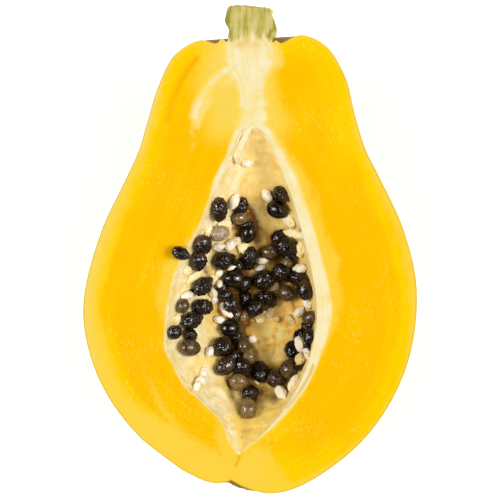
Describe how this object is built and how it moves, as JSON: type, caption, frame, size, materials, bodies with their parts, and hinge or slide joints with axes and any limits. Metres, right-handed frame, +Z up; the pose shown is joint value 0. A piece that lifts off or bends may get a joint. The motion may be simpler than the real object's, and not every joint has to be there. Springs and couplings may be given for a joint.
{
  "type": "papaya half",
  "caption": "Half of a ripe papaya cut lengthwise, lying cut face up: thick yellow flesh in a thin skin, a pointed seed cavity with its heap of seeds, and a short stem stub.",
  "frame": {"origin": "middle of the object's box, on the surface that the half lies on", "axes": "+Z up, out of the cut face; +Y along the fruit to its stem; +X across, to the right seen from above with the stem away"},
  "size_m": [0.1168, 0.1714, 0.0597],
  "materials": {
    "flesh": "moist yellow fruit flesh inside a thin waxy skin",
    "seeds": "wet black seeds in clear sacs, some brown and some cream",
    "stem": "pale green plant fibre, cut and torn"
  },
  "bodies": {
    "root": {"flesh": "flesh", "seeds": "seeds", "stem": "stem", "rim_seed": "seeds"}
  },
  "joints": []
}
